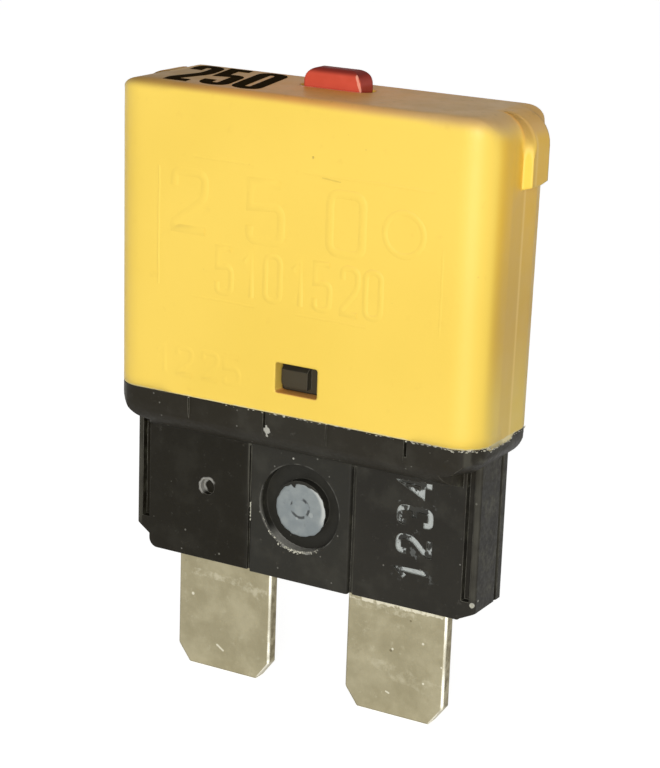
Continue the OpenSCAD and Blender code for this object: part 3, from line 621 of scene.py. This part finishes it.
# Figures, drawn as centre lines in a box one wide and one high. A third number
# marks a corner that stays sharp
FIGURES = {
    "0": [([(0, 0), (1, 0), (1, 1), (0, 1)], True)],
    "1": [([(0.05, 0.76), (0.55, 1, 0), (0.55, 0)], False)],
    "2": [([(0, 0.74), (0, 1), (1, 1), (1, 0.56), (0, 0.1), (0, 0, 0), (1, 0)], False)],
    "3": [
        ([(0, 0.78), (0, 1), (1, 1), (1, 0.53), (0.4, 0.53)], False),
        ([(0.4, 0.53), (1, 0.53), (1, 0), (0, 0), (0, 0.22)], False),
    ],
    "4": [([(0.74, 0), (0.74, 1, 0), (0, 0.3, 0), (1, 0.3)], False)],
    "5": [([(0.95, 1), (0, 1, 0), (0, 0.56, 0), (1, 0.62), (1, 0), (0, 0), (0, 0.24)], False)],
}
CORNER_STEPS = 6
SAME_POINT = 1e-4


def softened(points, closed, radius):
    """The line with its corners rounded."""
    out = []
    for i, p in enumerate(points):
        here = Vector(p[:2])
        if len(p) == 3 or (not closed and i in (0, len(points) - 1)):
            out.append(here)
            continue
        back = Vector(points[i - 1][:2]) - here
        ahead = Vector(points[(i + 1) % len(points)][:2]) - here
        reach = min(radius, back.length * 0.5, ahead.length * 0.5)
        a, b = here + back.normalized() * reach, here + ahead.normalized() * reach
        for k in range(CORNER_STEPS + 1):
            t = k / CORNER_STEPS
            out.append(a * (1 - t) ** 2 + here * 2 * t * (1 - t) + b * t * t)
    clean = [out[0]]
    for p in out[1:]:
        if (p - clean[-1]).length > SAME_POINT:
            clean.append(p)
    if closed and (clean[0] - clean[-1]).length < SAME_POINT:
        clean.pop()
    return clean


def figure_lines(text, height, width, gap, stroke, corner):
    """Centre lines of a row of figures, in millimetres, with a space as a wider gap."""
    lines, left = [], 0.0
    for sign in text:
        if sign == " ":
            left += gap
            continue
        w, h = width - stroke, height - stroke
        for points, closed in FIGURES[sign]:
            sized = [(p[0] * w, p[1] * h) + tuple(p[2:]) for p in points]
            line = softened(sized, closed, corner)
            lines.append(([p + Vector((left + stroke / 2, stroke / 2)) for p in line], closed))
        left += width + gap
    return lines


def ribbon(bm, line, closed, stroke, place, top, low, slope=0.0):
    """A raised strip along a line; place turns across, along and level into a point.
    With sloping flanks it is a faint rise of the surface under it, open below."""
    n = len(line)
    rings = []
    for i, p in enumerate(line):
        before = line[i - 1] if closed or i else None
        after = line[(i + 1) % n] if closed or i < n - 1 else None
        ways = [(p - before).normalized()] if before is not None else []
        ways += [(after - p).normalized()] if after is not None else []
        sides = [Vector((-w.y, w.x)) for w in ways]
        middle = sum(sides, Vector((0, 0)))
        middle = middle.normalized() if middle.length > 0.2 else sides[0]
        reach = stroke / 2 / max(0.5, middle.dot(sides[0]))
        wide = reach + slope
        ring = [(-wide, low), (-reach, top), (reach, top), (wide, low)]
        rings.append([bm.verts.new(place(*(p + middle * s), level)) for s, level in ring])
    for i in range(n if closed else n - 1):
        a, b = rings[i], rings[(i + 1) % n]
        for k in range(3 if slope else 4):
            bm.faces.new((a[k], a[(k + 1) % 4], b[(k + 1) % 4], b[k])).smooth = slope > 0
    if not closed and not slope:
        bm.faces.new(rings[0][::-1])
        bm.faces.new(rings[-1])


def new_piece(name, bm, material=None):
    bmesh.ops.recalc_face_normals(bm, faces=bm.faces)
    mesh = bpy.data.meshes.new(name)
    bm.to_mesh(mesh)
    bm.free()
    if material:
        mesh.materials.append(material)
    piece = bpy.data.objects.new(name, mesh)
    bpy.context.scene.collection.objects.link(piece)
    return piece


def on_housing(piece):
    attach(piece, "housing")


def joined_copy(name):
    """The mesh of a node, with the points that its faces share joined."""
    bm = bmesh.new()
    bm.from_mesh(nodes[name].data)
    bmesh.ops.remove_doubles(bm, verts=bm.verts, dist=1e-7)
    return bm


def on_front(x0, z0):
    """A function that turns across, up and out from the cap's leaning front into a point."""

    def place(u, v, out):
        x, z = x0 + u, z0 + v
        lean = CAP_LEAN * (z - SEAT_Z - CAP_FOOT) / CAP_WALL_HEIGHT
        return Vector((x, CAP_Y - lean - out, z)) * MM

    return place


def top_print(material):
    bm = bmesh.new()
    left, front, slant = -7.35, -2.35, -0.22
    height, width, gap, stroke, corner = 4.75, 1.56, 0.16, 0.64, 0.55

    def place(u, v, level):
        return Vector((left + u + slant * v, front + v, ROOF_Z + level)) * MM

    for line, closed in figure_lines("250", height, width, gap, stroke, corner):
        ribbon(bm, line, closed, stroke, place, 0.008, -0.02)
    on_housing(new_piece("top_print", bm, material))


def cap_relief(material):
    """Faint raised figures, a ring and the flash lines of a mould insert on the front."""
    bm = bmesh.new()
    foot, flank, corner = -0.002, 0.085, 0.5
    large, middling, small = (2.9, 1.9, 0, 0.26), (2.2, 0.9, 0.25, 0.14), (1.4, 0.9, 0.25, 0.14)
    for x, z, text, sizes, level in (
        (-6.3, 16.2, "2", large, 0.022),
        (-2.3, 16.2, "5", large, 0.021),
        (1.8, 16.2, "0", large, 0.022),
        (-3.9, 13.6, "5 10 15 20", middling, 0.024),
        (-7.1, 9.4, "12 25", small, 0.014),
    ):
        height, width, gap, stroke = sizes
        for line, closed in figure_lines(text, height, width, gap, stroke, corner):
            ribbon(bm, line, closed, stroke, on_front(x, z), level, foot, flank)

    steps, ring_radius = 40, 0.95
    turns = (math.tau * i / steps for i in range(steps))
    circle = [Vector((math.cos(a), math.sin(a))) * ring_radius for a in turns]
    ribbon(bm, circle, True, 0.14, on_front(5.6, 17.6), 0.021, foot, flank)

    pieces, shake = 12, 0.015
    for a, b, level in (
        ((-7.0, 13.6), (-7.02, 19.1), 0.018),
        ((-5.2, 19.72), (-2.0, 19.7), 0.012),
        ((0.5, 19.68), (7.0, 19.62), 0.012),
        ((-5.2, 13.3), (-1.8, 13.27), 0.013),
        ((0.3, 13.26), (3.9, 13.24), 0.012),
        ((7.5, 13.4), (7.5, 17.2), 0.009),
    ):
        line = []
        for i in range(pieces + 1):
            wander = Vector((rng.uniform(-1, 1), rng.uniform(-1, 1))) * shake
            line.append(Vector(a).lerp(Vector(b), i / pieces) + wander)
        ribbon(bm, line, False, 0.04, on_front(0, 0), level, -0.001, 0.055)
    on_housing(new_piece("cap_relief", bm, material))


def sunk_figures(material):
    """A copy of the base with figures sunk into its right panel, read upwards."""
    copy = new_piece("base_moulding", joined_copy("base"))

    bm = bmesh.new()
    baseline_x, height, width, stroke, corner = 6.85, 1.85, 0.95, 0.27, 0.3
    for sign, middle_z in (("1", 1.78), ("2", 3.05), ("3", 4.43), ("4", 5.8)):

        def place(u, v, out):
            return Vector((baseline_x - v, PANEL_Y - out, middle_z - width / 2 + u)) * MM

        for line, closed in figure_lines(sign, height, width, 0, stroke, corner):
            ribbon(bm, line, closed, stroke, place, 0.1, -0.13)
    cutter = new_piece("cutter", bm)

    boolean = copy.modifiers.new("figures", "BOOLEAN")
    boolean.object = cutter
    boolean.operation = "DIFFERENCE"
    boolean.solver = "EXACT"
    boolean.use_self = True
    ready = copy.evaluated_get(bpy.context.evaluated_depsgraph_get())
    cut = bpy.data.meshes.new_from_object(ready)
    copy.modifiers.clear()
    copy.data = cut
    bpy.data.objects.remove(cutter)

    sharp_from = math.radians(32)
    bm = bmesh.new()
    bm.from_mesh(cut)
    for face in bm.faces:
        face.smooth = True
    for edge in bm.edges:
        edge.smooth = len(edge.link_faces) == 2 and edge.calc_face_angle() < sharp_from
    bm.to_mesh(cut)
    bm.free()
    cut.materials.clear()
    cut.materials.append(material)
    even = copy.modifiers.new("even_shading", "WEIGHTED_NORMAL")
    even.keep_sharp = True
    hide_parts("base")
    on_housing(copy)


def bending_strip(material):
    """A copy of the bimetal strip, with cuts across it at its post."""
    bm = joined_copy("bimetal_strip")
    first_x, step, cuts = 3.5, 0.15, 9
    for i in range(cuts):
        bmesh.ops.bisect_plane(
            bm,
            geom=bm.verts[:] + bm.edges[:] + bm.faces[:],
            dist=1e-8,
            plane_co=((first_x + step * i) * MM, 0, 0),
            plane_no=(1, 0, 0),
        )
    strip = new_piece("bending_strip", bm, material)
    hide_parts("bimetal_strip")
    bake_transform(strip)


def boss_residue(material):
    """The whitish disc that clings to the boss, thin and ragged, with a broken upper edge."""
    bm = bmesh.new()
    middle_x, middle_z = PIT[0] + 0.03, PIT[1] - 0.08
    front_y, back_y = -1.45, -1.40
    radius, steps, shares = 1.3, 90, (0.3, 0.55, 0.78, 0.93, 1.0)
    wave = [(rng.uniform(0, math.tau), rng.uniform(0.004, 0.012), k) for k in (2, 3, 5, 8, 13, 21)]

    def vert(x, y, z):
        return bm.verts.new(Vector((middle_x + x, y, middle_z + z)) * MM)

    rows = []
    for i in range(steps):
        a = math.tau * i / steps
        across, up = math.cos(a), math.sin(a)
        reach = radius + sum(size * math.sin(k * a + start) for start, size, k in wave)
        # The disc is flatter at the top, and a piece is missing left of it
        if up > 0.75:
            reach -= 0.1 * (up - 0.75) / 0.25
        if 104 < math.degrees(a) < 113:
            reach -= 0.16
        row = []
        for share in shares:
            thick = 0.03 if share < 0.95 else 0.012
            y = BOSS_Y - thick + rng.uniform(-0.003, 0.003)
            row.append(vert(reach * share * across, y, reach * share * up))
        row.append(vert(reach * 1.005 * across, back_y, reach * 1.005 * up))
        rows.append(row)
    centre, back = vert(0, front_y, 0), vert(0, back_y, 0)
    for i in range(steps):
        a, b = rows[i], rows[(i + 1) % steps]
        bm.faces.new((centre, a[0], b[0]))
        for k in range(len(a) - 1):
            bm.faces.new((a[k], a[k + 1], b[k + 1], b[k]))
        bm.faces.new((back, b[-1], a[-1]))
    for face in bm.faces:
        face.smooth = True
    on_housing(new_piece("boss_residue", bm, material))


def lump(bm, centre, size, flat):
    """A small irregular crumb."""
    made = bmesh.ops.create_icosphere(bm, subdivisions=1, radius=1)
    for v in made["verts"]:
        v.co *= rng.uniform(0.7, 1.25)
        v.co = Vector(v.co[k] * size * flat[k] for k in range(3)) * MM + Vector(centre) * MM


def crumbs(material):
    """Whitish crumbs along the cap's lower edge and in corners of the base."""
    bm = bmesh.new()
    # Under the cap's front, more of them towards the right
    for _ in range(90):
        x = rng.triangular(-6, 8.4, 8.2)
        size = 0.014 + 0.035 * rng.random() ** 2
        spot = (x, CAP_Y, SEAT_Z + rng.uniform(-0.05, 0.04))
        lump(bm, spot, size, (rng.uniform(0.8, 2.6), 0.5, 0.7))
    # Round the cap's right front corner
    corner, corner_radius = Vector((8.15, -1.55)), 1.4
    for _ in range(60):
        a = math.radians(rng.uniform(-90, 0))
        spot = corner + Vector((math.cos(a), math.sin(a))) * corner_radius
        spot = (*spot, SEAT_Z + rng.uniform(-0.1, 0.04))
        lump(bm, spot, 0.015 + 0.04 * rng.random() ** 2, (1.3, 1.3, 0.7))
    # Along the right side, where the shoulder dips in front
    side_x, dip = 9.54, 0.2
    for _ in range(70):
        y = rng.uniform(-1.6, 2.0)
        low = SEAT_Z - dip if y < 0.5 else SEAT_Z - dip + min(dip, (y - 0.5) / 1.6)
        spot = (side_x, y, low + rng.uniform(-0.05, 0.07))
        lump(bm, spot, 0.015 + 0.045 * rng.random() ** 2, (0.5, 1.6, 0.8))
    # In the left groove
    for _ in range(26):
        t = rng.random()
        spot = (GROOVE_X + rng.uniform(-0.03, 0.03), -1.33, 3.4 - 0.95 * t)
        lump(bm, spot, rng.uniform(0.03, 0.06), (0.9, 0.6, 1.3))
    # On the right wing's lower corner
    x, z = WING_MARK
    for _ in range(14):
        spot = (x + rng.uniform(-0.07, 0.07), -1.36, z + rng.uniform(-0.07, 0.07))
        lump(bm, spot, rng.uniform(0.03, 0.05), (1, 0.5, 1))
    # Just below the pit, and on the lower part of its edge
    for _ in range(60):
        a = math.radians(rng.gauss(262, 16))
        r = PIT_RADIUS + abs(rng.gauss(0, 0.07))
        spot = (PIT[0] + r * math.cos(a), CENTRE_Y - 0.005, PIT[1] + r * math.sin(a))
        lump(bm, spot, rng.uniform(0.015, 0.05), (1, 0.5, 1))
    for _ in range(40):
        a = math.radians(rng.uniform(195, 300))
        r = PIT_RADIUS - 0.01 + rng.uniform(-0.02, 0.02)
        spot = (PIT[0] + r * math.cos(a), CENTRE_Y, PIT[1] + r * math.sin(a))
        lump(bm, spot, rng.uniform(0.012, 0.03), (1, 0.5, 1))
    on_housing(new_piece("residue_crumbs", bm, material))


def dress():
    blade = blade_metal()
    silver = plain_metal("contact_silver", (222, 222, 216), 0.3)
    spring = plain_metal("spring_steel", (190, 190, 196), 0.25)
    finishes = {
        "cap": yellow_plastic("cap_yellow"),
        "base": black_plastic(),
        "push_button": red_plastic(),
        "terminal_left": blade,
        "terminal_right": blade,
        "fixed_contact": silver,
        "moving_contact": silver,
        "bimetal_strip": plain_metal("bimetal", (168, 163, 150), 0.35),
        "bimetal_rivet": plain_metal("rivet_metal", (180, 172, 140), 0.35),
        "spring_left": spring,
        "spring_right": spring,
    }
    for name, node in nodes.items():
        node.data.materials.clear()
        node.data.materials.append(finishes[name])
    sunk_figures(finishes["base"])
    bending_strip(finishes["bimetal_strip"])
    top_print(ink())
    cap_relief(yellow_plastic("cap_yellow_raised", raised=True))
    boss_residue(boss_chalk())
    crumbs(chalk())


# Studio
def key_light():
    data = bpy.data.lights.new("key", "AREA")
    data.shape = "RECTANGLE"
    data.size = data.size_y = KEY_SIZE
    data.energy = KEY_WATTS
    lamp = bpy.data.objects.new("key", data)
    lamp.location = KEY_PLACE
    lamp.rotation_euler = (Vector(KEY_AIM) - Vector(KEY_PLACE)).to_track_quat("-Z", "Y").to_euler()
    bpy.context.scene.collection.objects.link(lamp)


def background_rays(tree):
    """1 for the rays that show the background: to the camera, in metal and through glass."""
    ray = tree.nodes.new("ShaderNodeLightPath").outputs
    shown = ray["Is Camera Ray"]
    for kind in ("Is Glossy Ray", "Is Transmission Ray"):
        larger = tree.nodes.new("ShaderNodeMath")
        larger.operation = "MAXIMUM"
        tree.links.new(shown, larger.inputs[0])
        tree.links.new(ray[kind], larger.inputs[1])
        shown = larger.outputs[0]
    return shown


def white_world():
    world = bpy.data.worlds.new("studio")
    world.use_nodes = True
    tree = world.node_tree
    ground = tree.nodes["Background"]
    level = tree.nodes.new("ShaderNodeMapRange")
    level.inputs["To Min"].default_value = AMBIENT
    level.inputs["To Max"].default_value = BACKGROUND
    tree.links.new(background_rays(tree), level.inputs["Value"])
    tree.links.new(level.outputs["Result"], ground.inputs["Strength"])
    ground.inputs["Color"].default_value = (1, 1, 1, 1)
    bpy.context.scene.world = world


def white_floor():
    m = Material("floor_white")
    glow = m.math("MULTIPLY", background_rays(m.tree), FLOOR_GLOW)
    m.set(
        Base_Color=(FLOOR_GREY, FLOOR_GREY, FLOOR_GREY, 1),
        Roughness=0.9,
        Specular_IOR_Level=0.0,
        Emission_Color=(1, 1, 1, 1),
        Emission_Strength=glow,
    )
    corners = [(-1, -1), (1, -1), (1, 1), (-1, 1)]
    mesh = bpy.data.meshes.new("floor")
    mesh.from_pydata(
        [(a * FLOOR_HALF, b * FLOOR_HALF, cad_low.z) for a, b in corners], [], [(0, 1, 2, 3)]
    )
    mesh.materials.append(m.made)
    floor = bpy.data.objects.new("floor", mesh)
    bpy.context.scene.collection.objects.link(floor)


def studio():
    bpy.context.scene.view_settings.view_transform = "Standard"
    white_world()
    key_light()
    white_floor()


make_camera()
dress()
studio()
